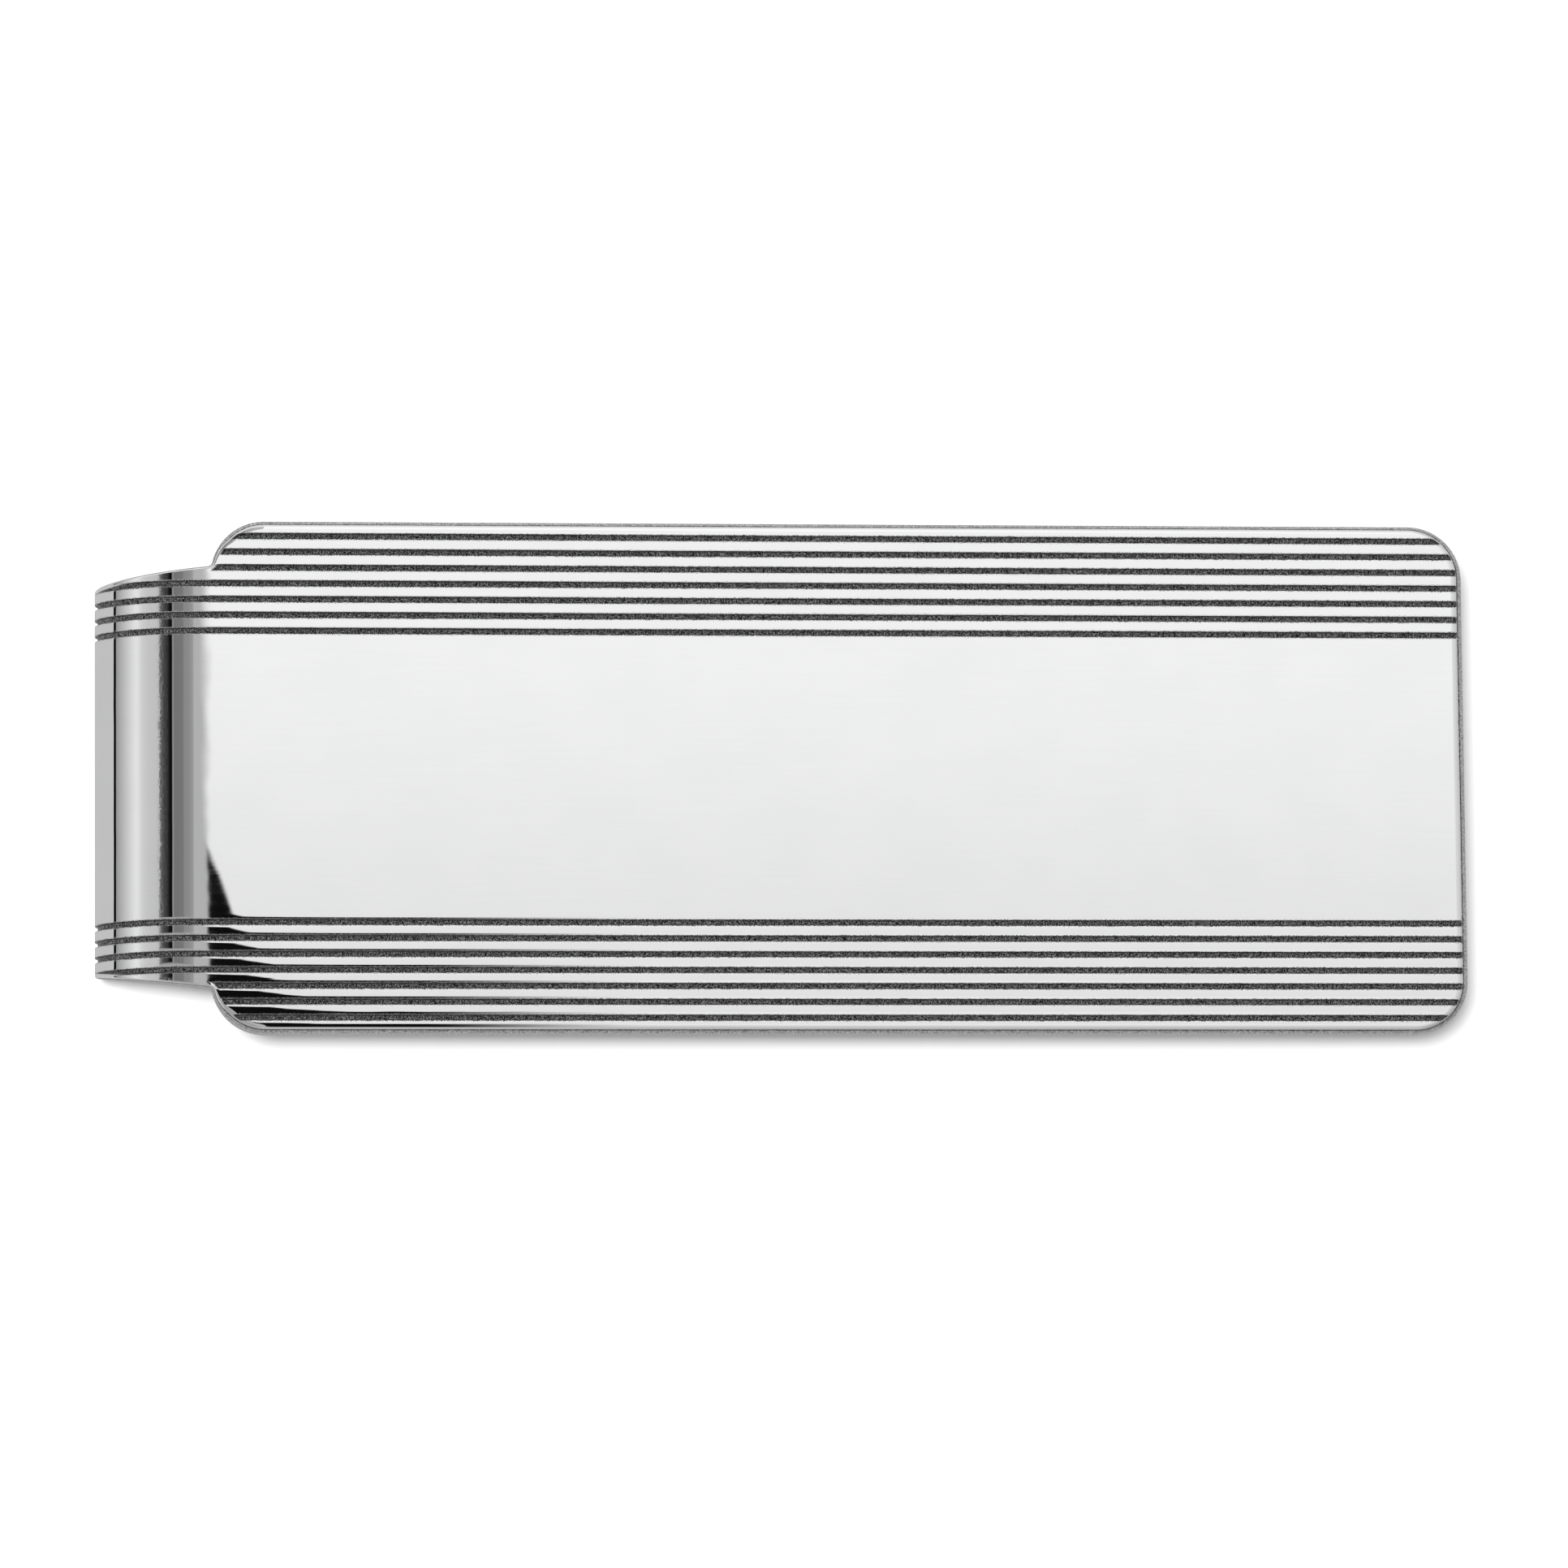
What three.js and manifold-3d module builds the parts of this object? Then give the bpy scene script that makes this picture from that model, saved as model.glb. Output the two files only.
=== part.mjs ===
// Fold-over money clip: one strip of polished spring metal. A broad grooved face plate narrows into a
// tongue that is folded back underneath it, springs against the plate's back at a knee, and flares away
// as a lip that the banknotes slide in past. The strip is divided into named stretches, so that the
// part above the crown of the fold can turn on the part below it, as the real fold flexes.
//
// Millimetres. +X runs along the clip, away from the fold. +Z is up, out of the face. The origin is on
// the resting plane, below the middle of the clip.

import * as THREE from 'three';
import { mergeVertices } from 'three/addons/utils/BufferGeometryUtils.js';
import Module from 'manifold-3d';

const wasm = await Module();
wasm.setup();

const radians = THREE.MathUtils.degToRad;

// Strip
const CLIP_LENGTH = 54;
const PLATE_WIDTH = 20.2;
const STRIP_THICKNESS = 1.15;
const PLATE_CORNER_RADIUS = 2.1;

// Fold. Radii are those of the strip's outer skin.
const SHOULDER_RADIUS = 4.5;
const SHOULDER_TURN = radians(52.5);
const FOLD_RADIUS = 1.75;
const FLAT_BEFORE_SHOULDER = 0.55;
const RIGHT_ANGLE = Math.PI / 2;

// Tongue
const TONGUE_WIDTH = 16.66;
const TONGUE_TAPER = radians(6.2);
const TONGUE_ROOT_LENGTH = 4;
const TONGUE_TIP_CORNER_RADIUS = 3;
const KNEE_FROM_FOLD = 34;
const KNEE_RADIUS = 7;
const KNEE_GAP = 0.2;
const LIP_TURN = radians(20);

// Engine-turned grooves, in two bands along the edges of the strip
const GROOVES_PER_BAND = 7;
const GROOVE_PITCH = 0.625;
const GROOVE_WIDTH = 0.28;
const GROOVE_DEPTH = 0.12;
const INNER_GROOVE_Y = 5.74;
const GROOVE_END_MARGIN = 0.3;
const CUTTER_OVERRUN = 0.5;

// Facets
const FACET_TURN = radians(9);
const TIP_STEPS = 6;
const CORNER_STEPS = 8;

// Derived sizes
const foldLeft = -CLIP_LENGTH / 2;
const plateRight = CLIP_LENGTH / 2;
const clipHeight = SHOULDER_RADIUS * (1 - Math.cos(SHOULDER_TURN))
  + FOLD_RADIUS * (1 + Math.cos(SHOULDER_TURN));
const shoulderStart = foldLeft + SHOULDER_RADIUS * Math.sin(SHOULDER_TURN)
  + FOLD_RADIUS * (1 - Math.sin(SHOULDER_TURN));
const plateLeft = shoulderStart + FLAT_BEFORE_SHOULDER;
const seamX = (shoulderStart + plateLeft) / 2;

const metal = new THREE.MeshStandardMaterial({ color: 0xd9dadc, roughness: 0.12, metalness: 1 });

// The tongue's skin leaves the bottom of the fold and reaches the knee along the line that is tangent
// to both: the fold's circle lies above that line and the knee's circle below it.
function tongueRun() {
  const fold = new THREE.Vector2(foldLeft + FOLD_RADIUS, FOLD_RADIUS);
  const kneeTop = clipHeight - 2 * STRIP_THICKNESS - KNEE_GAP;
  const knee = new THREE.Vector2(foldLeft + KNEE_FROM_FOLD, kneeTop - KNEE_RADIUS);
  const between = knee.clone().sub(fold);
  const radii = FOLD_RADIUS + KNEE_RADIUS;
  const slope = Math.atan2(between.y, between.x) + Math.asin(radii / between.length());
  const length = Math.sqrt(between.lengthSq() - radii * radii);
  const lipDrop = kneeTop - KNEE_RADIUS * (1 - Math.cos(LIP_TURN));
  return { slope, length, lipLength: lipDrop / Math.sin(LIP_TURN) };
}

const tongue = tongueRun();

// The side path follows the outer skin: from the plate's free end along the face, round the fold and
// out along the tongue's back. A stretch has a length and the angle that it turns through, which is
// positive towards the inside of the fold. A turning stretch is an arc.
const stretches = [
  { length: plateRight - shoulderStart, turn: 0 },
  { length: SHOULDER_RADIUS * SHOULDER_TURN, turn: SHOULDER_TURN },
  { length: FOLD_RADIUS * (RIGHT_ANGLE - SHOULDER_TURN), turn: RIGHT_ANGLE - SHOULDER_TURN },
  { length: FOLD_RADIUS * RIGHT_ANGLE, turn: RIGHT_ANGLE },
  { length: FOLD_RADIUS * tongue.slope, turn: tongue.slope },
  { length: tongue.length, turn: 0 },
  { length: KNEE_RADIUS * tongue.slope, turn: -tongue.slope },
  { length: KNEE_RADIUS * LIP_TURN, turn: -LIP_TURN },
  { length: tongue.lipLength, turn: 0 },
];

const headingAt = (angle) => new THREE.Vector2(Math.cos(angle), Math.sin(angle));
const inwardAt = (angle) => new THREE.Vector2(-Math.sin(angle), Math.cos(angle));

// Gives each stretch its start: the distance along the path, the point and the heading.
function laySidePath() {
  let distance = 0;
  let angle = Math.PI;
  let point = new THREE.Vector2(plateRight, clipHeight);
  for (const stretch of stretches) {
    Object.assign(stretch, { start: distance, angle, point });
    point = sidePoint(stretch, stretch.length, 0);
    angle += stretch.turn;
    distance += stretch.length;
  }
}

// The point at a distance along one stretch and a depth below the outer skin.
function sidePoint(stretch, along, depth) {
  const { point, angle, length, turn } = stretch;
  if (turn === 0) {
    return point.clone().addScaledVector(headingAt(angle), along).addScaledVector(inwardAt(angle), depth);
  }
  const radius = length / turn;
  const centre = point.clone().addScaledVector(inwardAt(angle), radius);
  return centre.addScaledVector(inwardAt(angle + (turn * along) / length), depth - radius);
}

laySidePath();

const [, , foldUpper, foldLower, , blade, , , lip] = stretches;
const seam = plateRight - seamX;
const tongueStart = plateRight - plateLeft;
const tipEnd = lip.start + lip.length;

// Half the tongue's width at a distance along the path, with round corners at its tip.
function tongueHalfWidth(distance) {
  const taper = Math.tan(TONGUE_TAPER) * (distance - tongueStart);
  const intoCorner = Math.max(0, distance - (tipEnd - TONGUE_TIP_CORNER_RADIUS));
  const cornerCut = TONGUE_TIP_CORNER_RADIUS - Math.sqrt(TONGUE_TIP_CORNER_RADIUS ** 2 - intoCorner ** 2);
  return TONGUE_WIDTH / 2 - taper - cornerCut;
}

const stretchAt = (distance) => stretches.findLast((stretch) => stretch.start <= distance) ?? stretches[0];

// Distances at which a body from one end to the other needs a cross-section: its ends, the ends of
// the stretches between them, and even steps round every arc.
function stationsBetween(from, to) {
  const stations = [from];
  for (const { start, length, turn } of stretches) {
    const first = Math.max(from, start);
    const last = Math.min(to, start + length);
    if (last <= first) continue;
    const turned = Math.abs(turn) * (last - first) / length;
    const steps = Math.max(1, Math.ceil(turned / FACET_TURN));
    for (let step = 1; step <= steps; step += 1) stations.push(first + ((last - first) * step) / steps);
  }
  if (to > stations.at(-1)) stations.push(to);
  return stations;
}

// The lip's last stations follow the round corners of the tip, a little closer together at the end.
function tipStations() {
  const cornerStart = tipEnd - TONGUE_TIP_CORNER_RADIUS;
  const stations = stationsBetween(blade.start + blade.length, cornerStart);
  for (let step = 1; step <= TIP_STEPS; step += 1) {
    stations.push(cornerStart + TONGUE_TIP_CORNER_RADIUS * Math.sin((RIGHT_ANGLE * step) / TIP_STEPS));
  }
  return stations;
}

// A bar that follows the side path through the given stations. Its sides are at middleY plus and minus
// the half width, and it runs from one depth below the outer skin to another.
function bentBar(stations, halfWidthAt, middleY, fromDepth, toDepth) {
  const segments = stations.length - 1;
  const bar = new THREE.BoxGeometry(1, 2, 1, segments, 1, 1);
  const corners = bar.attributes.position;
  for (let i = 0; i < corners.count; i += 1) {
    const distance = stations[Math.round((corners.getX(i) + 0.5) * segments)];
    const depth = corners.getZ(i) < 0 ? fromDepth : toDepth;
    const stretch = stretchAt(distance);
    const side = sidePoint(stretch, distance - stretch.start, depth);
    corners.setXYZ(i, side.x, middleY + corners.getY(i) * halfWidthAt(distance), side.y);
  }
  return bar;
}

// Faces of a closed geometry as a solid that can be cut.
function toSolid(geometry) {
  const bare = geometry.clone();
  bare.deleteAttribute('normal');
  bare.deleteAttribute('uv');
  const merged = mergeVertices(bare, 1e-5);
  const vertProperties = new Float32Array(merged.attributes.position.array);
  const triVerts = new Uint32Array(merged.index.array);
  return new wasm.Manifold(new wasm.Mesh({ numProp: 3, vertProperties, triVerts }));
}

function toMesh(name, solid) {
  const { vertProperties, triVerts } = solid.getMesh();
  const geometry = new THREE.BufferGeometry();
  geometry.setAttribute('position', new THREE.BufferAttribute(vertProperties, 3));
  geometry.setIndex(new THREE.BufferAttribute(triVerts, 1));
  const mesh = new THREE.Mesh(geometry, metal);
  mesh.name = name;
  return mesh;
}

// Every groove is cut straight along the strip, so the tongue's tapering edges cut the outer ones off.
function cutGrooves(solid, from, to) {
  const cutterHalfWidth = () => GROOVE_WIDTH / 2;
  const stations = stationsBetween(from, to);
  let cut = solid;
  for (let i = 0; i < GROOVES_PER_BAND; i += 1) {
    for (const side of [-1, 1]) {
      const y = side * (INNER_GROOVE_Y + i * GROOVE_PITCH);
      const cutter = bentBar(stations, cutterHalfWidth, y, -CUTTER_OVERRUN, GROOVE_DEPTH);
      cut = cut.subtract(toSolid(cutter));
    }
  }
  return cut;
}

// The plate's outline from above, with the first of the tongue at its left end.
function plateOutline() {
  const halfWidth = PLATE_WIDTH / 2;
  const radius = PLATE_CORNER_RADIUS;
  const centreY = halfWidth - radius;
  const tongueY = tongueHalfWidth(seam);
  const leftCentreX = plateLeft + radius;
  const rightCentreX = plateRight - radius;
  const meets = Math.asin((tongueY - centreY) / radius);
  const outline = new THREE.Shape();
  outline.moveTo(seamX, -tongueY);
  outline.absarc(leftCentreX, -centreY, radius, Math.PI + meets, 3 * RIGHT_ANGLE);
  outline.absarc(rightCentreX, -centreY, radius, -RIGHT_ANGLE, 0);
  outline.absarc(rightCentreX, centreY, radius, 0, RIGHT_ANGLE);
  outline.absarc(leftCentreX, centreY, radius, RIGHT_ANGLE, Math.PI - meets);
  outline.lineTo(seamX, tongueY);
  return outline;
}

function facePlate() {
  const options = { depth: STRIP_THICKNESS, bevelEnabled: false, curveSegments: CORNER_STEPS };
  const plate = new THREE.ExtrudeGeometry(plateOutline(), options);
  plate.translate(0, 0, clipHeight - STRIP_THICKNESS);
  return toMesh('face_plate', cutGrooves(toSolid(plate), GROOVE_END_MARGIN, seam + CUTTER_OVERRUN));
}

// A stretch of the tongue, from the first of its stations to the last.
function tonguePiece(name, stations) {
  const body = bentBar(stations, tongueHalfWidth, 0, 0, STRIP_THICKNESS);
  const from = stations[0] - CUTTER_OVERRUN;
  const to = stations.at(-1) + CUTTER_OVERRUN;
  return toMesh(name, cutGrooves(toSolid(body), from, to));
}

const clip = new THREE.Group();
clip.name = 'money_clip';
clip.add(
  facePlate(),
  tonguePiece('fold_shoulder', stationsBetween(seam, foldUpper.start)),
  tonguePiece('fold_upper', stationsBetween(foldUpper.start, foldLower.start)),
  tonguePiece('fold_lower', stationsBetween(foldLower.start, blade.start)),
  tonguePiece('tongue_root', stationsBetween(blade.start, blade.start + TONGUE_ROOT_LENGTH)),
  tonguePiece('tongue_blade', stationsBetween(blade.start + TONGUE_ROOT_LENGTH, blade.start + blade.length)),
  tonguePiece('tongue_lip', tipStations()),
);

export default clip;
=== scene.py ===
"""Looks of the fold-over money clip: one strip of polished metal with two bands of etched grooves.

The strip is modelled flat first, with its rounded rim, its grooves and the crowned lands between them.
It is then cut into stretches and every stretch is bent along the same side path as the CAD strip.
Lengths in the flat strip are in millimetres; Blender objects are in metres.
"""

import math

import bmesh
import bpy
from mathutils import Matrix, Vector


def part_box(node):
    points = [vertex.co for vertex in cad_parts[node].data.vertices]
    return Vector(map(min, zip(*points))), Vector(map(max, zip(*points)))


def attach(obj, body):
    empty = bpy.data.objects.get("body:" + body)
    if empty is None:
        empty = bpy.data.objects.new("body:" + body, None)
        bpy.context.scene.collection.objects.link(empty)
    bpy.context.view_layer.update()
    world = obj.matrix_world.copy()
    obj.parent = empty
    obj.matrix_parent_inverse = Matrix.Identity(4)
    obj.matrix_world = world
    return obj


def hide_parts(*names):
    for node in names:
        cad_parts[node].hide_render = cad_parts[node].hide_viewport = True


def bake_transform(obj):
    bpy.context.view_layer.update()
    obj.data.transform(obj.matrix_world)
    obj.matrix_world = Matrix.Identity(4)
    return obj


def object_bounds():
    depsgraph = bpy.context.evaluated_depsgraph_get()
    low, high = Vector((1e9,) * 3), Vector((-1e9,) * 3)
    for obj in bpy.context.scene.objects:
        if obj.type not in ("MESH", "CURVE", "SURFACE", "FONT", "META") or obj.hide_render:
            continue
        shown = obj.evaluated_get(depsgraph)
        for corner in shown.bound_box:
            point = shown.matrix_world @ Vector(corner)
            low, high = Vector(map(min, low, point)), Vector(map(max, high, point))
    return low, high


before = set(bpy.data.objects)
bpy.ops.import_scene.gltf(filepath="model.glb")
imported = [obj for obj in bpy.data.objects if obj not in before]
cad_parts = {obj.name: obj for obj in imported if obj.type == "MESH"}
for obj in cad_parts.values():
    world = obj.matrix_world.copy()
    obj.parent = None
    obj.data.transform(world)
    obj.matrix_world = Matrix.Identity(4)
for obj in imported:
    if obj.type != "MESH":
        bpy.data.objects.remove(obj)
cad_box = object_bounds()

MM = 0.001
RIGHT_ANGLE = math.pi / 2


def box_mm(node):
    return [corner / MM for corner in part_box(node)]


# Sizes that the frame gives
plate_low, plate_high = box_mm("face_plate")
crown = box_mm("fold_lower")[1].z
clip_left = cad_box[0].x / MM
clip_height = plate_high.z
thickness = plate_high.z - plate_low.z
plate_right = plate_high.x
plate_half_width = plate_high.y

# Bends, with the radii of the strip's outer skin
FOLD_RADIUS = crown
SHOULDER_RADIUS = 4.5
SHOULDER_TURN = math.radians(52.5)
FLAT_BEFORE_SHOULDER = 0.55
KNEE_RADIUS = 7
KNEE_FROM_FOLD = 34
KNEE_GAP = 0.2
LIP_TURN = math.radians(20)

# Outline of the flat strip
PLATE_CORNER_RADIUS = 2.1
JUNCTION_RADIUS = 0.22
TONGUE_WIDTH = 16.66
TONGUE_TAPER = math.radians(6.2)
TIP_CORNER_RADIUS = 3
OUTLINE_STEP = math.radians(4.5)

# Grooves, lands and rim
GROOVES_PER_BAND = 7
GROOVE_PITCH = 0.625
INNER_GROOVE_Y = 5.74
GROOVE_WIDTH = 0.228
GROOVE_FLOOR_WIDTH = 0.18
GROOVE_DEPTH = 0.12
GROOVE_EDGE_DEPTH = 0.1
GROOVE_END_INSET = 0.2
GROOVE_FULL_INSET = 0.28
LAND_CROWN = 0.0003
LAND_CROWN_POWER = 4
LAND_ROLL = 0.03
LAND_ROLL_DEPTH = 0.0015
RIM_REACH = 0.34
RIM_DROP = 0.25
RIM_STEPS = 16
RIM_INNER_RING = 0.36
FLAT_RING = 0.38
FREE_END_RIM_SCALE = 1.4
TONGUE_RIM_SCALE = 0.35
TONGUE_RIM_START = 0.6

# Stretches that become separate pieces
TONGUE_ROOT_LENGTH = 4
FOLD_OVERLAP = 0.25
FLAT_MARGIN = 0.08
SHOULDER_STEP = math.radians(1.5)
FOLD_STEP = math.radians(3)
SHARP_ANGLE = math.radians(30)
SAME_PLACE = 1e-4
ON_PLANE = 1e-5
DECIMALS = 5


# ---------------------------------------------------------------------------------------------------
# Side path
# ---------------------------------------------------------------------------------------------------

shoulder_start = (
    clip_left + SHOULDER_RADIUS * math.sin(SHOULDER_TURN) + FOLD_RADIUS * (1 - math.sin(SHOULDER_TURN))
)
plate_length = plate_right - shoulder_start - FLAT_BEFORE_SHOULDER


def tongue_run():
    """Slope and length of the straight tongue, tangent to fold and knee, and the lip's length."""
    fold = Vector((clip_left + FOLD_RADIUS, FOLD_RADIUS))
    knee_top = clip_height - 2 * thickness - KNEE_GAP
    knee = Vector((clip_left + KNEE_FROM_FOLD, knee_top - KNEE_RADIUS))
    between = knee - fold
    radii = FOLD_RADIUS + KNEE_RADIUS
    slope = math.atan2(between.y, between.x) + math.asin(radii / between.length)
    length = math.sqrt(between.length_squared - radii**2)
    lip_drop = knee_top - KNEE_RADIUS * (1 - math.cos(LIP_TURN))
    return slope, length, lip_drop / math.sin(LIP_TURN)


def arc(radius, turn, step):
    return {"length": abs(radius * turn), "turn": turn, "step": step}


def straight(length):
    return {"length": length, "turn": 0, "step": 0}


def heading(angle):
    return Vector((math.cos(angle), math.sin(angle)))


def inward(angle):
    return Vector((-math.sin(angle), math.cos(angle)))


def side_point(stretch, along, depth):
    """The point (x, z) at a distance along one stretch and a depth below the outer skin."""
    angle, turn, point = stretch["angle"], stretch["turn"], stretch["point"]
    if turn == 0:
        return point + heading(angle) * along + inward(angle) * depth
    radius = stretch["length"] / turn
    centre = point + inward(angle) * radius
    return centre + inward(angle + turn * along / stretch["length"]) * (depth - radius)


def lay_side_path():
    """The stretches from the plate's free end, round the fold and out to the tip of the lip."""
    slope, tongue_length, lip_length = tongue_run()
    stretches = [
        straight(plate_right - shoulder_start),
        arc(SHOULDER_RADIUS, SHOULDER_TURN, SHOULDER_STEP),
        arc(FOLD_RADIUS, math.pi - SHOULDER_TURN + slope, FOLD_STEP),
        straight(tongue_length),
        arc(KNEE_RADIUS, -slope - LIP_TURN, SHOULDER_STEP),
        straight(lip_length),
    ]
    start, angle, point = 0, math.pi, Vector((plate_right, clip_height))
    for stretch in stretches:
        stretch.update(start=start, angle=angle, point=point)
        point = side_point(stretch, stretch["length"], 0)
        angle += stretch["turn"]
        start += stretch["length"]
    return stretches


path = lay_side_path()
tongue_stretch, knee_stretch, lip_stretch = path[3:]
tongue_start = tongue_stretch["start"]
knee_start = knee_stretch["start"]
tip_end = lip_stretch["start"] + lip_stretch["length"]
plate_seam = plate_right - plate_low.x


def bend(distance, across, depth):
    """A point of the flat strip, bent into place, in metres."""
    stretch = next(piece for piece in reversed(path) if piece["start"] <= max(distance, 0))
    side = side_point(stretch, distance - stretch["start"], depth)
    return Vector((side.x, across, side.y)) * MM


# ---------------------------------------------------------------------------------------------------
# Flat strip
# ---------------------------------------------------------------------------------------------------


def round_steps(centre, radius, first, last):
    """Points of an arc, at even angles measured from the direction of growing distance."""
    count = math.ceil(abs(last - first) / OUTLINE_STEP)
    angles = [first + (last - first) * i / count for i in range(count + 1)]
    return [centre + heading(angle) * radius for angle in angles]


def tongue_edge(distance):
    """Half the tongue's width at a distance along the path, before its tip is rounded."""
    return TONGUE_WIDTH / 2 - math.tan(TONGUE_TAPER) * (distance - plate_length)


def junction_fillet(corner):
    """The small concave round where the plate's corner meets the tongue's edge."""
    along = heading(-TONGUE_TAPER)
    out = Vector((-along.y, along.x))
    start = Vector((plate_length, tongue_edge(plate_length))) + out * JUNCTION_RADIUS
    reach = PLATE_CORNER_RADIUS + JUNCTION_RADIUS
    to_start = start - corner
    half = to_start.dot(along)
    run = -half + math.sqrt(half**2 - to_start.length_squared + reach**2)
    centre = start + along * run
    from_corner = centre - corner
    first = math.atan2(from_corner.y, from_corner.x)
    return centre, first


def half_outline():
    """The outline on the +Y side, from the plate's free end to the tongue's tip."""
    centre_y = plate_half_width - PLATE_CORNER_RADIUS
    free_corner = Vector((PLATE_CORNER_RADIUS, centre_y))
    fold_corner = Vector((plate_length - PLATE_CORNER_RADIUS, centre_y))
    fillet, meets = junction_fillet(fold_corner)
    points = round_steps(free_corner, PLATE_CORNER_RADIUS, math.pi, RIGHT_ANGLE)
    points += round_steps(fold_corner, PLATE_CORNER_RADIUS, RIGHT_ANGLE, meets)
    points += round_steps(fillet, JUNCTION_RADIUS, meets - math.pi, -RIGHT_ANGLE - TONGUE_TAPER)[1:]
    tip_start = tip_end - TIP_CORNER_RADIUS
    count = math.ceil(RIGHT_ANGLE / OUTLINE_STEP)
    for i in range(count + 1):
        turned = RIGHT_ANGLE * i / count
        distance = tip_start + TIP_CORNER_RADIUS * math.sin(turned)
        across = tongue_edge(distance) - TIP_CORNER_RADIUS * (1 - math.cos(turned))
        points.append(Vector((distance, across)))
    return points


def outline_with_normals():
    """The whole outline, with the direction into the strip at each of its points."""
    upper = half_outline()
    lower = [Vector((point.x, -point.y)) for point in reversed(upper)]
    points = upper + lower
    normals = []
    for i, point in enumerate(points):
        before = (point - points[i - 1]).normalized()
        after = (points[(i + 1) % len(points)] - point).normalized()
        tangent = (before + after).normalized()
        normals.append(Vector((tangent.y, -tangent.x)))
    return points, normals


def rim_profile():
    """(distance in from the outline, depth) from the outer skin over the edge to the inner skin."""
    top = [(FLAT_RING, 0), (RIM_INNER_RING, 0)]
    for i in range(RIM_STEPS + 1):
        turned = RIGHT_ANGLE * i / RIM_STEPS
        top.append((RIM_REACH * (1 - math.sin(turned)), RIM_DROP * (1 - math.cos(turned))))
    return top + [(inset, thickness - depth) for inset, depth in reversed(top)]


def groove_offset(across):
    """How far a place is from the middle of its nearest groove."""
    from_first = abs(across) - INNER_GROOVE_Y
    nearest = min(max(round(from_first / GROOVE_PITCH), 0), GROOVES_PER_BAND - 1)
    return abs(from_first - nearest * GROOVE_PITCH)


def land_depth(from_groove):
    """Depth of a land at a distance from its groove: a very slight crown and a softly rolled edge."""
    half_land = (GROOVE_PITCH - GROOVE_WIDTH) / 2
    crowned = max(1 - from_groove / half_land, 0) ** LAND_CROWN_POWER
    rolled = max(1 - from_groove / LAND_ROLL, 0) ** 2
    return LAND_CROWN * crowned + LAND_ROLL_DEPTH * rolled


def skin_depth(across):
    """Depth of the grooved outer skin: nearly flat groove floors, steep walls and lands."""
    offset = groove_offset(across)
    floor_half, groove_half = GROOVE_FLOOR_WIDTH / 2, GROOVE_WIDTH / 2
    if offset <= floor_half:
        share = (offset / floor_half) ** 2
        return GROOVE_DEPTH + (GROOVE_EDGE_DEPTH - GROOVE_DEPTH) * share
    if offset < groove_half:
        share = (offset - floor_half) / (groove_half - floor_half)
        return GROOVE_EDGE_DEPTH + (land_depth(0) - GROOVE_EDGE_DEPTH) * share
    return land_depth(offset - groove_half)


def skin_lines():
    """The places across the strip where its outer skin needs an edge along the strip."""
    groove_half = GROOVE_WIDTH / 2
    half_land = (GROOVE_PITCH - GROOVE_WIDTH) / 2
    on_land = [0, LAND_ROLL / 3, 2 * LAND_ROLL / 3, LAND_ROLL, half_land / 2, half_land]
    offsets = [0, GROOVE_FLOOR_WIDTH / 4, GROOVE_FLOOR_WIDTH / 2]
    offsets += [groove_half + from_groove for from_groove in on_land]
    lines = set()
    for i in range(GROOVES_PER_BAND):
        middle = INNER_GROOVE_Y + i * GROOVE_PITCH
        for offset in offsets:
            lines.update((round(middle - offset, DECIMALS), round(middle + offset, DECIMALS)))
    return sorted(lines | {-line for line in lines})


def cut_across(mesh, point, normal, clear=False):
    """Cuts the whole mesh along a plane, and with clear takes away what lies on the normal's side."""
    everything = mesh.verts[:] + mesh.edges[:] + mesh.faces[:]
    bmesh.ops.bisect_plane(
        mesh, geom=everything, dist=ON_PLANE, plane_co=point, plane_no=normal, clear_outer=clear
    )


def rim_scale(point, normal):
    """How wide the rim is at a place on the outline: wider at the free end, narrow on the tongue."""
    widened = 1 + (FREE_END_RIM_SCALE - 1) * max(normal.x, 0) ** 2
    on_tongue = min(max(1 + (point.x - plate_length) / TONGUE_RIM_START, 0), 1)
    return widened + (TONGUE_RIM_SCALE - widened) * on_tongue


def flat_strip():
    """The whole strip, flat: X is distance along the path, Y is across and -Z is depth."""
    points, normals = outline_with_normals()
    mesh = bmesh.new()
    rim = mesh.verts.layers.float.new("rim")
    roll = mesh.verts.layers.float.new("roll")
    rings = []
    for inset, depth in rim_profile():
        ring = []
        for point, normal in zip(points, normals):
            scale = rim_scale(point, normal)
            if inset == FLAT_RING:
                scale = max(scale, 1)
            place = point + normal * inset * scale
            vert = mesh.verts.new((place.x, place.y, -depth))
            vert[rim] = inset * scale
            vert[roll] = inset
            ring.append(vert)
        rings.append(ring)
    for outer, inner in zip(rings, rings[1:]):
        for i in range(len(outer)):
            mesh.faces.new((outer[i - 1], outer[i], inner[i], inner[i - 1]))
    mesh.faces.new(rings[0])
    mesh.faces.new(rings[-1])
    for line in skin_lines():
        if abs(line) < plate_half_width:
            cut_across(mesh, (0, line, 0), (0, 1, 0))
    for vert in mesh.verts:
        if vert.co.z > -thickness / 2:
            past_end = (vert[rim] - GROOVE_END_INSET) / (GROOVE_FULL_INSET - GROOVE_END_INSET)
            vert.co.z = min(vert.co.z, -skin_depth(vert.co.y) * min(max(past_end, 0), 1))
    return mesh


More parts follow.
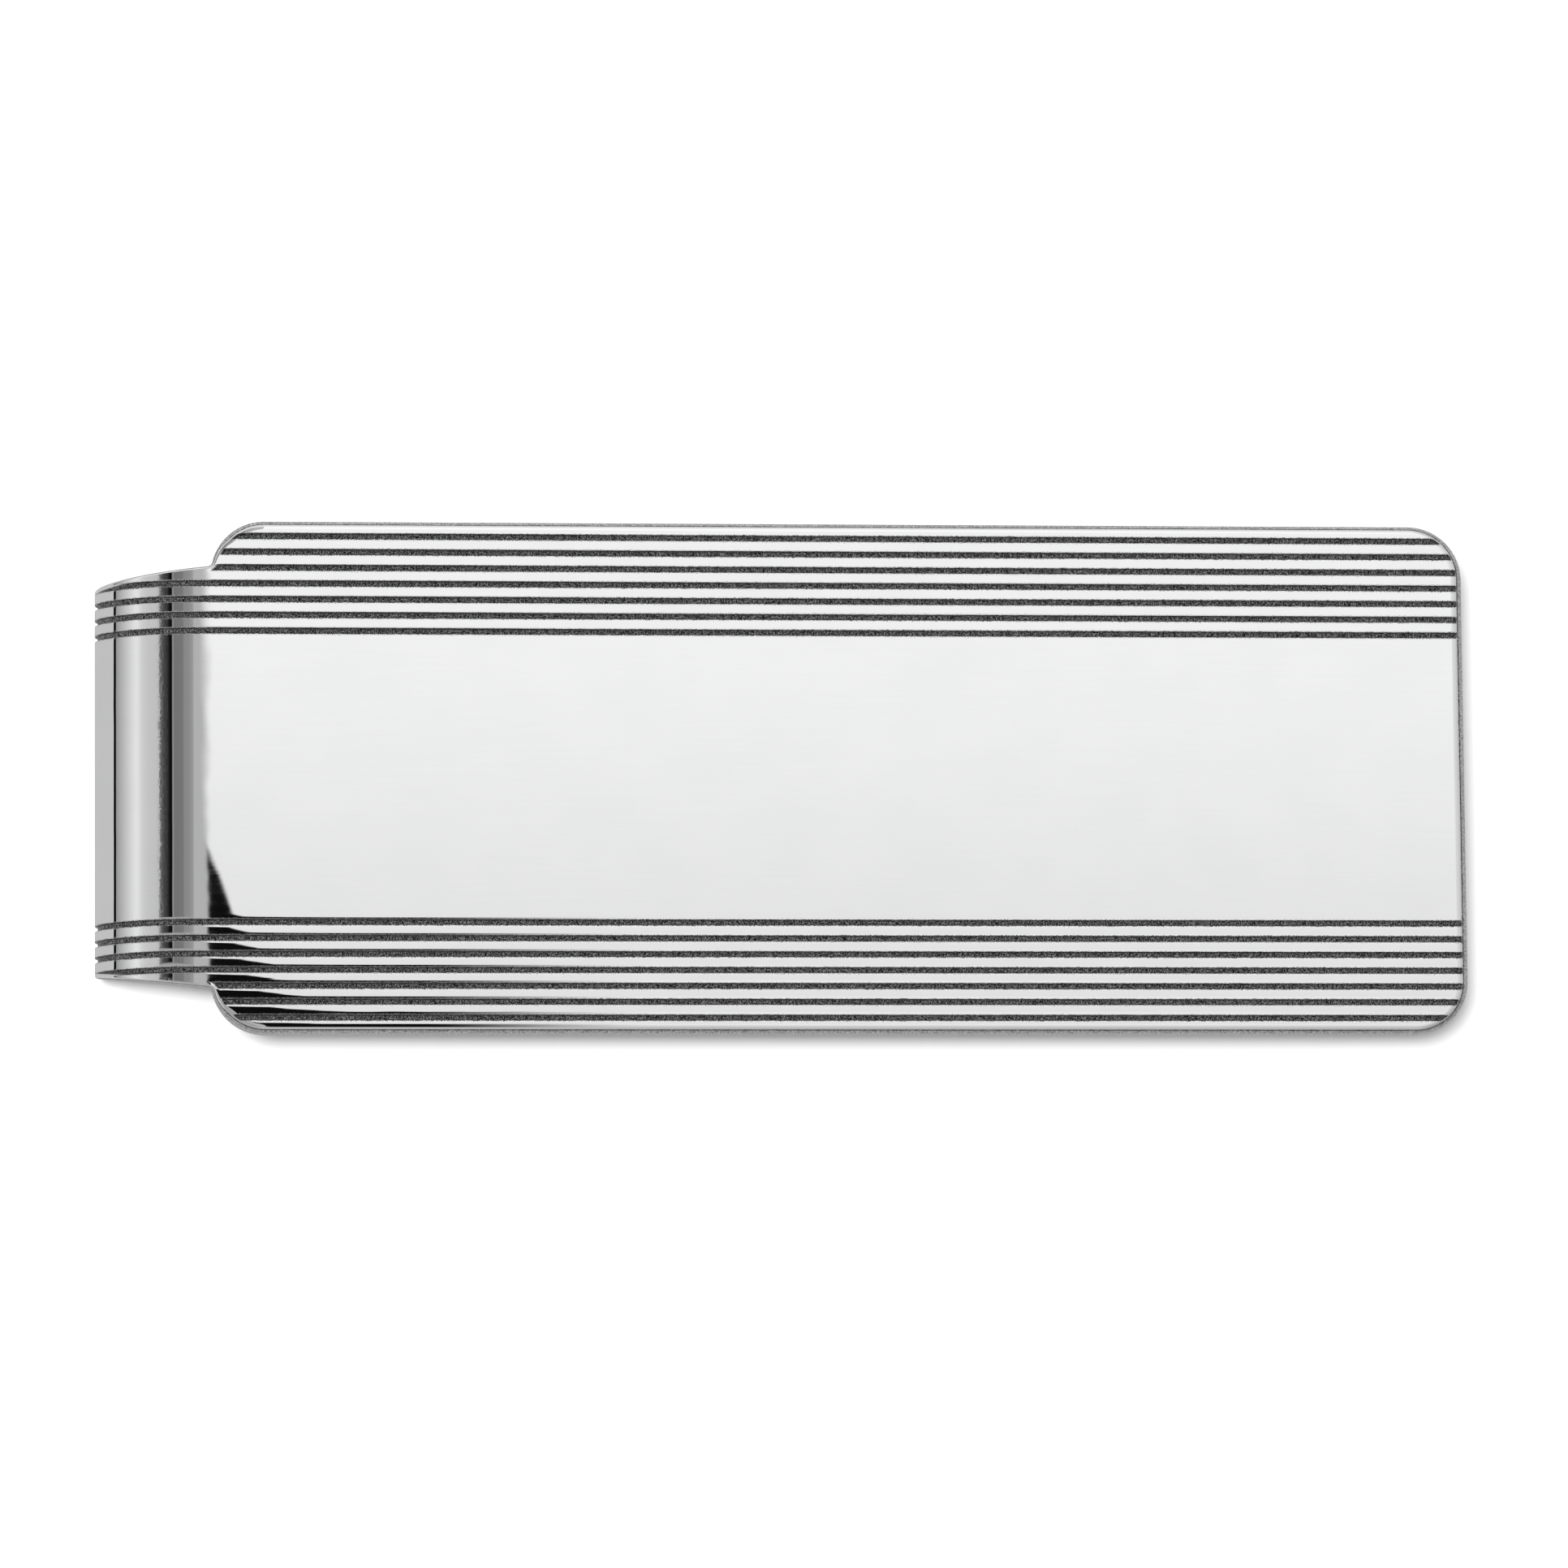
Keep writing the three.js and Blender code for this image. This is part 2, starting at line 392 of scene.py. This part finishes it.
def stations_between(first, last):
    """Distances inside a piece where its mesh needs a ring of edges to follow the bends."""
    stations = []
    for stretch in path:
        low = max(first, stretch["start"])
        high = min(last, stretch["start"] + stretch["length"])
        if high <= low:
            continue
        turned = abs(stretch["turn"]) * (high - low) / stretch["length"]
        count = math.ceil(turned / stretch["step"]) if stretch["turn"] else 1
        stations += [low + (high - low) * i / count for i in range(count + 1)]
        if not stretch["turn"]:
            stations += [low + FLAT_MARGIN, high - FLAT_MARGIN]
    inside = [place for place in set(stations) if first + SAME_PLACE < place < last - SAME_PLACE]
    return sorted(inside)


def strip_piece(name, flat, first, last, material):
    """A closed piece of the strip between two distances along the path, bent into place."""
    mesh = flat.copy()
    if first > 0:
        cut_across(mesh, (first, 0, 0), (-1, 0, 0), clear=True)
    if last < tip_end:
        cut_across(mesh, (last, 0, 0), (1, 0, 0), clear=True)
    for place in stations_between(first, last):
        cut_across(mesh, (place, 0, 0), (1, 0, 0))
    open_edges = [edge for edge in mesh.edges if edge.is_boundary]
    bmesh.ops.holes_fill(mesh, edges=open_edges, sides=0)
    strip = mesh.verts.layers.float_vector.new("strip")
    for vert in mesh.verts:
        place = vert.co.copy()
        vert[strip] = (place.x, place.y, -place.z)
        vert.co = bend(place.x, place.y, -place.z)
    bmesh.ops.recalc_face_normals(mesh, faces=mesh.faces[:])
    if mesh.calc_volume(signed=True) < 0:
        bmesh.ops.reverse_faces(mesh, faces=mesh.faces[:])
    data = bpy.data.meshes.new(name)
    mesh.to_mesh(data)
    mesh.free()
    data.shade_smooth()
    data.set_sharp_from_angle(angle=SHARP_ANGLE)
    data.materials.append(material)
    piece = bpy.data.objects.new(name, data)
    bpy.context.scene.collection.objects.link(piece)
    return piece


# ---------------------------------------------------------------------------------------------------
# Shader graphs
# ---------------------------------------------------------------------------------------------------


class Graph:
    """Short calls that add nodes to one node tree and link them."""

    def __init__(self, tree):
        self.tree = tree
        tree.nodes.clear()

    def node(self, kind, inputs=None, **settings):
        made = self.tree.nodes.new(kind)
        for name, value in settings.items():
            setattr(made, name, value)
        for socket, value in (inputs or {}).items():
            self.feed(made.inputs[socket], value)
        return made

    def feed(self, socket, value):
        if isinstance(value, bpy.types.NodeSocket):
            self.tree.links.new(value, socket)
        else:
            socket.default_value = value

    def math(self, operation, *values, clamp=False):
        inputs = dict(enumerate(values))
        return self.node("ShaderNodeMath", inputs, operation=operation, use_clamp=clamp).outputs[0]

    def ramp(self, value, low, high, from_value=0.0, to_value=1.0):
        """A smooth step of the value from low to high."""
        inputs = {0: value, 1: low, 2: high, 3: from_value, 4: to_value}
        return self.node("ShaderNodeMapRange", inputs, interpolation_type="SMOOTHSTEP").outputs[0]

    def mix(self, factor, first, second):
        """Mixes two numbers."""
        return self.node("ShaderNodeMix", {0: factor, 2: first, 3: second}).outputs[0]

    def mix_colour(self, factor, first, second):
        inputs = {0: factor, 6: first, 7: second}
        return self.node("ShaderNodeMix", inputs, data_type="RGBA").outputs[2]

    def separate(self, vector):
        return self.node("ShaderNodeSeparateXYZ", {0: vector}).outputs

    def scaled(self, vector, scale):
        return self.node("ShaderNodeVectorMath", {0: vector, 1: scale}, operation="MULTIPLY").outputs[0]

    def noise(self, vector, scale, detail=2.0, roughness=0.5):
        inputs = {"Vector": vector, "Scale": scale, "Detail": detail, "Roughness": roughness}
        return self.node("ShaderNodeTexNoise", inputs).outputs["Fac"]


def grey(value):
    return (value, value, value, 1.0)


# ---------------------------------------------------------------------------------------------------
# Metal
# ---------------------------------------------------------------------------------------------------

POLISHED_COLOUR = (0.905, 0.906, 0.908, 1.0)
POLISHED_LOW_COLOUR = (0.885, 0.887, 0.89, 1.0)
POLISHED_ROUGHNESS = (0.005, 0.008)
WIPING_SCALE = (0.25, 6.0, 1.0)
WIPING_HEIGHT = 0.001
WAVINESS_ON_PLATE = 0.02
WAVINESS_ON_FOLD = 0.3
WAVINESS_START = plate_seam + 0.2
WAVINESS_FULL = plate_seam + 2.0

ETCHED_GREYS = (0.01, 0.78)
ETCHED_ROUGHNESS = 0.42
BRISTLE_SCALE = (32.0, 20.0, 20.0)
BRISTLE_REACH = 0.3
BRISTLE_END_REACH = 0.1
ETCHED_END_BLUR = 0.03
ETCHED_EDGE_INSIDE = 0.008
ETCHED_EDGE_OUTSIDE = 0.012

SATIN_GREYS = (0.25, 0.8)
SATIN_ROUGHNESS = 0.34
SATIN_WIDTH = 0.15
SATIN_RAGGED = 0.06
SATIN_EDGE_BLUR = 0.01
SATIN_BORDER_WIDTH = 0.03
SATIN_BORDER_GREY = 0.06

PITTING_HEIGHT = 3.0
SATIN_PITTING = 0.35
BUMP_DISTANCE = 0.00001


def etched_groove_mask(graph, place, rim, strip):
    """1 in the etched grooves, with ragged edges that spill a little on the lands."""
    across = graph.math("ABSOLUTE", place[1])
    from_first = graph.math("SUBTRACT", across, INNER_GROOVE_Y)
    nearest = graph.math("ROUND", graph.math("DIVIDE", from_first, GROOVE_PITCH))
    nearest = graph.math("MINIMUM", graph.math("MAXIMUM", nearest, 0.0), GROOVES_PER_BAND - 1.0)
    middle = graph.math("MULTIPLY", nearest, GROOVE_PITCH)
    offset = graph.math("ABSOLUTE", graph.math("SUBTRACT", from_first, middle))
    bristles = graph.noise(graph.scaled(strip, BRISTLE_SCALE), 1.0, detail=2.0, roughness=0.7)
    ragged = graph.math("SUBTRACT", bristles, 0.5)
    edge = graph.math("MULTIPLY_ADD", ragged, BRISTLE_REACH, offset)
    inside = GROOVE_WIDTH / 2 - ETCHED_EDGE_INSIDE
    outside = GROOVE_WIDTH / 2 + ETCHED_EDGE_OUTSIDE
    in_groove = graph.ramp(edge, inside, outside, 1.0, 0.0)
    on_skin = graph.math("LESS_THAN", place[2], thickness / 3)
    from_rim = graph.math("MULTIPLY_ADD", ragged, BRISTLE_END_REACH, rim)
    before_end = graph.ramp(from_rim, GROOVE_END_INSET, GROOVE_END_INSET + ETCHED_END_BLUR)
    return graph.math("MULTIPLY", in_groove, graph.math("MULTIPLY", on_skin, before_end))


def satin_rim_masks(graph, roll, strip):
    """1 on the strip's edge, which has a fine granular finish, and 1 on that finish's dark border."""
    ragged = graph.math("SUBTRACT", graph.noise(strip, 20.0), 0.5)
    edge = graph.math("MULTIPLY_ADD", ragged, SATIN_RAGGED, roll)
    satin = graph.ramp(edge, SATIN_WIDTH - SATIN_EDGE_BLUR, SATIN_WIDTH + SATIN_EDGE_BLUR, 1.0, 0.0)
    border_start = SATIN_WIDTH - SATIN_BORDER_WIDTH
    border = graph.ramp(edge, border_start - SATIN_EDGE_BLUR, border_start + SATIN_EDGE_BLUR)
    return satin, border


def clip_metal():
    """Mirror polish with faint lengthwise wiping marks, dark etched grooves and satin edges."""
    material = bpy.data.materials.new("clip_metal")
    material.use_nodes = True
    graph = Graph(material.node_tree)
    strip = graph.node("ShaderNodeAttribute", attribute_name="strip").outputs["Vector"]
    rim = graph.node("ShaderNodeAttribute", attribute_name="rim").outputs["Fac"]
    roll = graph.node("ShaderNodeAttribute", attribute_name="roll").outputs["Fac"]
    place = graph.separate(strip)
    etched = etched_groove_mask(graph, place, rim, strip)
    satin, satin_border = satin_rim_masks(graph, roll, strip)
    etched = graph.math("MULTIPLY", etched, graph.math("SUBTRACT", 1.0, satin))

    wiping = graph.noise(graph.scaled(strip, WIPING_SCALE), 1.0, detail=4.0, roughness=0.6)
    cloud = graph.noise(strip, 0.35, detail=2.0)
    clouded_wiping = graph.mix(0.4, cloud, wiping)
    tone = graph.ramp(clouded_wiping, 0.35, 0.65)
    polished = graph.mix_colour(tone, POLISHED_LOW_COLOUR, POLISHED_COLOUR)
    grain = graph.noise(graph.scaled(strip, BRISTLE_SCALE), 1.0, detail=3.0, roughness=0.7)
    etched_dark, etched_light = ETCHED_GREYS
    etched_tone = graph.ramp(grain, 0.45, 0.66)
    etched_colour = graph.mix_colour(etched_tone, grey(etched_dark), grey(etched_light))
    fine_grain = graph.noise(strip, 22.0, detail=2.0, roughness=0.6)
    satin_dark, satin_light = SATIN_GREYS
    satin_tone = graph.ramp(fine_grain, 0.35, 0.62)
    satin_colour = graph.mix_colour(satin_tone, grey(satin_dark), grey(satin_light))
    satin_colour = graph.mix_colour(satin_border, satin_colour, grey(SATIN_BORDER_GREY))
    colour = graph.mix_colour(etched, polished, etched_colour)
    colour = graph.mix_colour(satin, colour, satin_colour)

    polished_roughness = graph.ramp(wiping, 0.3, 0.7, *POLISHED_ROUGHNESS)
    roughness = graph.mix(etched, polished_roughness, ETCHED_ROUGHNESS)
    roughness = graph.mix(satin, roughness, SATIN_ROUGHNESS)

    hand = graph.noise(strip, 0.6, detail=1.0)
    waviness = graph.ramp(
        place[0], WAVINESS_START, WAVINESS_FULL, WAVINESS_ON_PLATE, WAVINESS_ON_FOLD
    )
    wiping_marks = graph.math("MULTIPLY", wiping, WIPING_HEIGHT)
    polish_height = graph.math("MULTIPLY_ADD", hand, waviness, wiping_marks)
    satin_pitting = graph.math("MULTIPLY", satin, SATIN_PITTING)
    pitting = graph.math("MULTIPLY", grain, graph.math("ADD", etched, satin_pitting))
    height = graph.math("MULTIPLY_ADD", pitting, PITTING_HEIGHT, polish_height)
    bump = graph.node("ShaderNodeBump", {"Height": height, "Strength": 1.0, "Distance": BUMP_DISTANCE})

    shader = graph.node("ShaderNodeBsdfPrincipled", {
        "Metallic": 1.0,
        "Base Color": colour,
        "Roughness": roughness,
        "Normal": bump.outputs["Normal"],
    })
    graph.node("ShaderNodeOutputMaterial", {"Surface": shader.outputs[0]})
    return material


# ---------------------------------------------------------------------------------------------------
# Clip
# ---------------------------------------------------------------------------------------------------


def build_clip():
    metal = clip_metal()
    flat = flat_strip()
    fold_end = tongue_start + FOLD_OVERLAP
    root_end = tongue_start + TONGUE_ROOT_LENGTH

    plate = strip_piece("grooved_face_plate", flat, 0, plate_seam, metal)
    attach(plate, "front_leaf")
    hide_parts("face_plate")

    fold = strip_piece("spring_fold", flat, plate_seam, fold_end, metal)
    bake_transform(fold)
    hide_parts("fold_shoulder", "fold_upper", "fold_lower")

    tongue = [
        ("tongue_root_strip", fold_end, root_end, "tongue_root"),
        ("tongue_blade_strip", root_end, knee_start, "tongue_blade"),
        ("tongue_knee_and_lip", knee_start, tip_end, "tongue_lip"),
    ]
    for name, first, last, node in tongue:
        piece = strip_piece(name, flat, first, last, metal)
        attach(piece, "rear_leaf")
        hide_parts(node)
    flat.free()


# ---------------------------------------------------------------------------------------------------
# Studio
# ---------------------------------------------------------------------------------------------------

FLOOR_HALF_SIZE = 3.0
CAMERA_DISTANCE = 0.4
CAMERA_TARGET = Vector((-0.00004, -0.00026, clip_height * MM))
CAMERA_TURNS = (math.radians(7.292), math.radians(-5.237), math.radians(0.152))
CAMERA_LENS = 233.74
CAMERA_SENSOR = 36
CAMERA_CLIP_START = 0.01

# Brightness of the cards on the fold's side, by degrees from straight up towards -X
SIDE_CARDS = [
    (0, 0.48), (1.2, 0.47), (2.5, 0.34), (7, 0.28), (11, 0.27), (12.2, 0.2), (21.2, 0.185),
    (22, 0.34), (22.8, 0.2), (23.4, 0.0), (26, 0.01), (28.5, 0.045), (31.5, 0.065), (34, 0.12),
    (35.6, 0.22), (37.2, 0.53), (40, 0.58), (49, 0.61), (55, 0.68), (60, 0.83), (63, 0.83),
    (70, 0.68), (77, 0.53), (84, 0.39), (86.7, 0.3), (87.1, 0.0), (90, 0.0),
]
CARD_NEAR_BRIGHTNESS = 0.84
CARD_FAR_BRIGHTNESS = 0.97
CARD_EDGE_X = 0.035
CARD_SOFT_EDGE_X = 0.0344
CARD_EDGE_Y = 0.1035
CARD_SLANT = 0.4
CARD_SLANT_EDGE = 0.0836
CARD_CORNER = 0.008
CARD_EDGE_BLUR = 0.0003
SUN_SLOPE = Vector((-0.2, -0.025, 1))
SUN_STRENGTH = 5.2
SUN_ANGLE = math.radians(12)
FLOOR_GREY = 0.5
# painted shade: the floor's grey where the metal reflects it, darker than the floor the camera sees
FLOOR_PAINTED_SHADE_IN_REFLECTIONS = 0.27
FLOOR_GLOW = 0.14
GAP_BRIGHTNESS = 0.004
FRAYING = (40.0, 1500.0, 40.0)
FRAYED_DEGREES = 9


def studio_floor():
    """A plain pale floor on the resting plane with a faint even glow, painted a darker grey in the
    metal's reflections as painted shade.
    """
    data = bpy.data.meshes.new("floor")
    half = FLOOR_HALF_SIZE
    corners = [(-half, -half, 0), (half, -half, 0), (half, half, 0), (-half, half, 0)]
    data.from_pydata(corners, [], [(0, 1, 2, 3)])
    floor = bpy.data.objects.new("floor", data)
    bpy.context.scene.collection.objects.link(floor)
    material = bpy.data.materials.new("floor_paper")
    material.use_nodes = True
    graph = Graph(material.node_tree)
    in_reflection = graph.node("ShaderNodeLightPath").outputs["Is Glossy Ray"]
    # painted shade: in the metal's reflections the floor is a darker grey than to the camera
    colour = graph.mix_colour(in_reflection, grey(FLOOR_GREY), grey(FLOOR_PAINTED_SHADE_IN_REFLECTIONS))
    glow = graph.mix(in_reflection, FLOOR_GLOW, 0.0)
    shader = graph.node("ShaderNodeBsdfPrincipled", {
        "Base Color": colour,
        "Roughness": 1.0,
        "Specular IOR Level": 0.0,
        "Emission Color": grey(1.0),
        "Emission Strength": glow,
    })
    graph.node("ShaderNodeOutputMaterial", {"Surface": shader.outputs[0]})
    data.materials.append(material)


def overhead_card_mask(graph, slope_x, slope_y):
    """1 on the overhead card, which has a slanted side towards the fold and a round corner."""
    slanted = graph.math("MULTIPLY_ADD", slope_y, CARD_SLANT, slope_x)
    short_x = graph.math("SUBTRACT", CARD_SLANT_EDGE + CARD_CORNER, slanted)
    short_x = graph.math("MAXIMUM", short_x, 0.0)
    short_y = graph.math("SUBTRACT", CARD_EDGE_Y + CARD_CORNER, slope_y)
    short_y = graph.math("MAXIMUM", short_y, 0.0)
    squares = [graph.math("MULTIPLY", short, short) for short in (short_x, short_y)]
    short = graph.math("SQRT", graph.math("ADD", *squares))
    return graph.ramp(short, CARD_CORNER - CARD_EDGE_BLUR, CARD_CORNER + CARD_EDGE_BLUR, 1.0, 0.0)


def side_card_brightness(graph, direction, x, y, z):
    """The cards on the fold's side: bands of grey, the dark one with a frayed edge."""
    towards_fold = graph.math("ARCTAN2", graph.math("MULTIPLY", x, -1.0), z)
    frayed = graph.math("SUBTRACT", graph.noise(graph.scaled(direction, FRAYING), 1.0), 0.5)
    fray_starts = graph.ramp(
        towards_fold, math.radians(25), math.radians(31), 0.0, math.radians(FRAYED_DEGREES)
    )
    fray_ends = graph.ramp(towards_fold, math.radians(38), math.radians(45), 1.0, 0.0)
    frayed = graph.math("MULTIPLY", graph.math("MULTIPLY", frayed, fray_starts), fray_ends)
    share = graph.math("DIVIDE", graph.math("ADD", towards_fold, frayed), RIGHT_ANGLE, clamp=True)
    bands = graph.node("ShaderNodeValToRGB", {0: share})
    stops = bands.color_ramp.elements
    while len(stops) < len(SIDE_CARDS):
        stops.new(0.5)
    for stop, (degrees, brightness) in zip(stops, SIDE_CARDS):
        stop.position = degrees / 90
        stop.color = grey(brightness)
    before_card = graph.ramp(y, 0.106, 0.109, 0.38, 0.0)
    above_horizon = graph.ramp(towards_fold, math.radians(80), math.radians(85), 1.0, 0.0)
    past_dark_card = graph.math("MULTIPLY", before_card, above_horizon)
    return graph.math("MAXIMUM", bands.outputs[0], past_dark_card)


def side_mask(graph, slope_x, slope_y, y):
    """1 on the fold's side of the studio, with an edge that softens away from the camera."""
    softness = graph.ramp(slope_y, 0.118, 0.126, 0.0003, 0.0013)
    edge_x = graph.ramp(slope_y, 0.118, 0.126, CARD_EDGE_X, CARD_SOFT_EDGE_X)
    past_edge = graph.math("DIVIDE", graph.math("SUBTRACT", slope_x, edge_x), softness)
    left = graph.ramp(past_edge, 0.0, 1.0, 1.0, 0.0)
    narrow = graph.ramp(graph.math("ABSOLUTE", y), 0.45, 0.7, 1.0, 0.0)
    return graph.math("MULTIPLY", left, narrow)


def room_brightness(graph, x, y, z):
    """The room: bright behind the clip, grey in front of it, with a pale band above the horizon."""
    high = graph.ramp(z, 0.5, 1.0, 0.42, 0.78)
    low = graph.ramp(z, 0.3, 0.55, 0.25, 0.0)
    by_height = graph.math("ADD", high, low)
    room = graph.math("MULTIPLY", by_height, graph.ramp(y, -0.5, 0.6, 0.75, 1.5))
    return graph.math("MULTIPLY", room, graph.ramp(x, 0.1, 0.4, 1.0, 0.8))


def gap_mask(graph, slope_x, slope_y):
    """1 in the dark gap in front of the overhead card, at the fold's end."""
    gap = graph.ramp(slope_x, 0.055, 0.08, 1.0, 0.0)
    gap = graph.math("MULTIPLY", gap, graph.ramp(slope_y, -0.5, -0.3))
    return graph.math("MULTIPLY", gap, graph.ramp(slope_y, 0.2, 0.3, 1.0, 0.0))


def studio_light():
    """Soft cards all round, placed by direction; a slope is x or y for each unit of height."""
    world = bpy.data.worlds.new("studio")
    world.use_nodes = True
    bpy.context.scene.world = world
    graph = Graph(world.node_tree)
    direction = graph.node("ShaderNodeTexCoord").outputs["Generated"]
    x, y, z = graph.separate(direction)
    up = graph.math("MAXIMUM", z, 0.001)
    slope_x = graph.math("DIVIDE", x, up)
    slope_y = graph.math("DIVIDE", y, up)

    room = room_brightness(graph, x, y, z)
    rest = graph.mix(gap_mask(graph, slope_x, slope_y), room, GAP_BRIGHTNESS)
    card = graph.ramp(slope_y, CARD_EDGE_Y, 0.145, CARD_NEAR_BRIGHTNESS, CARD_FAR_BRIGHTNESS)
    away = graph.ramp(graph.math("MAXIMUM", slope_x, slope_y), 0.165, 0.32)
    card = graph.mix(away, card, room)
    side = side_card_brightness(graph, direction, x, y, z)

    brightness = graph.mix(overhead_card_mask(graph, slope_x, slope_y), rest, card)
    brightness = graph.mix(side_mask(graph, slope_x, slope_y, y), brightness, side)
    seen = graph.node("ShaderNodeLightPath").outputs["Is Camera Ray"]
    brightness = graph.mix(seen, brightness, 1.0)
    background = graph.node("ShaderNodeBackground", {"Color": brightness, "Strength": 1.0})
    graph.node("ShaderNodeOutputWorld", {"Surface": background.outputs[0]})
    bpy.context.scene.view_settings.view_transform = "Standard"


def key_light():
    """A soft lamp high behind the fold's far corner, which gives the clip a short shadow."""
    data = bpy.data.lights.new("key", "SUN")
    data.energy = SUN_STRENGTH
    data.angle = SUN_ANGLE
    lamp = bpy.data.objects.new("key", data)
    bpy.context.scene.collection.objects.link(lamp)
    lamp.rotation_mode = "QUATERNION"
    lamp.rotation_quaternion = SUN_SLOPE.to_track_quat("Z", "Y")
    lamp.visible_glossy = False


def product_camera():
    """A long lens almost straight above, a little towards the fold and the lower edge."""
    data = bpy.data.cameras.new("camera")
    data.lens = CAMERA_LENS
    data.sensor_width = CAMERA_SENSOR
    data.clip_start = CAMERA_CLIP_START
    camera = bpy.data.objects.new("camera", data)
    bpy.context.scene.collection.objects.link(camera)
    turn_x, turn_y, turn_z = CAMERA_TURNS
    turned = Matrix.Rotation(turn_x, 3, "X") @ Matrix.Rotation(turn_y, 3, "Y")
    turned = turned @ Matrix.Rotation(turn_z, 3, "Z")
    camera.rotation_euler = turned.to_euler()
    camera.location = CAMERA_TARGET + turned @ Vector((0, 0, CAMERA_DISTANCE))
    bpy.context.scene.camera = camera


build_clip()
studio_floor()
studio_light()
key_light()
product_camera()
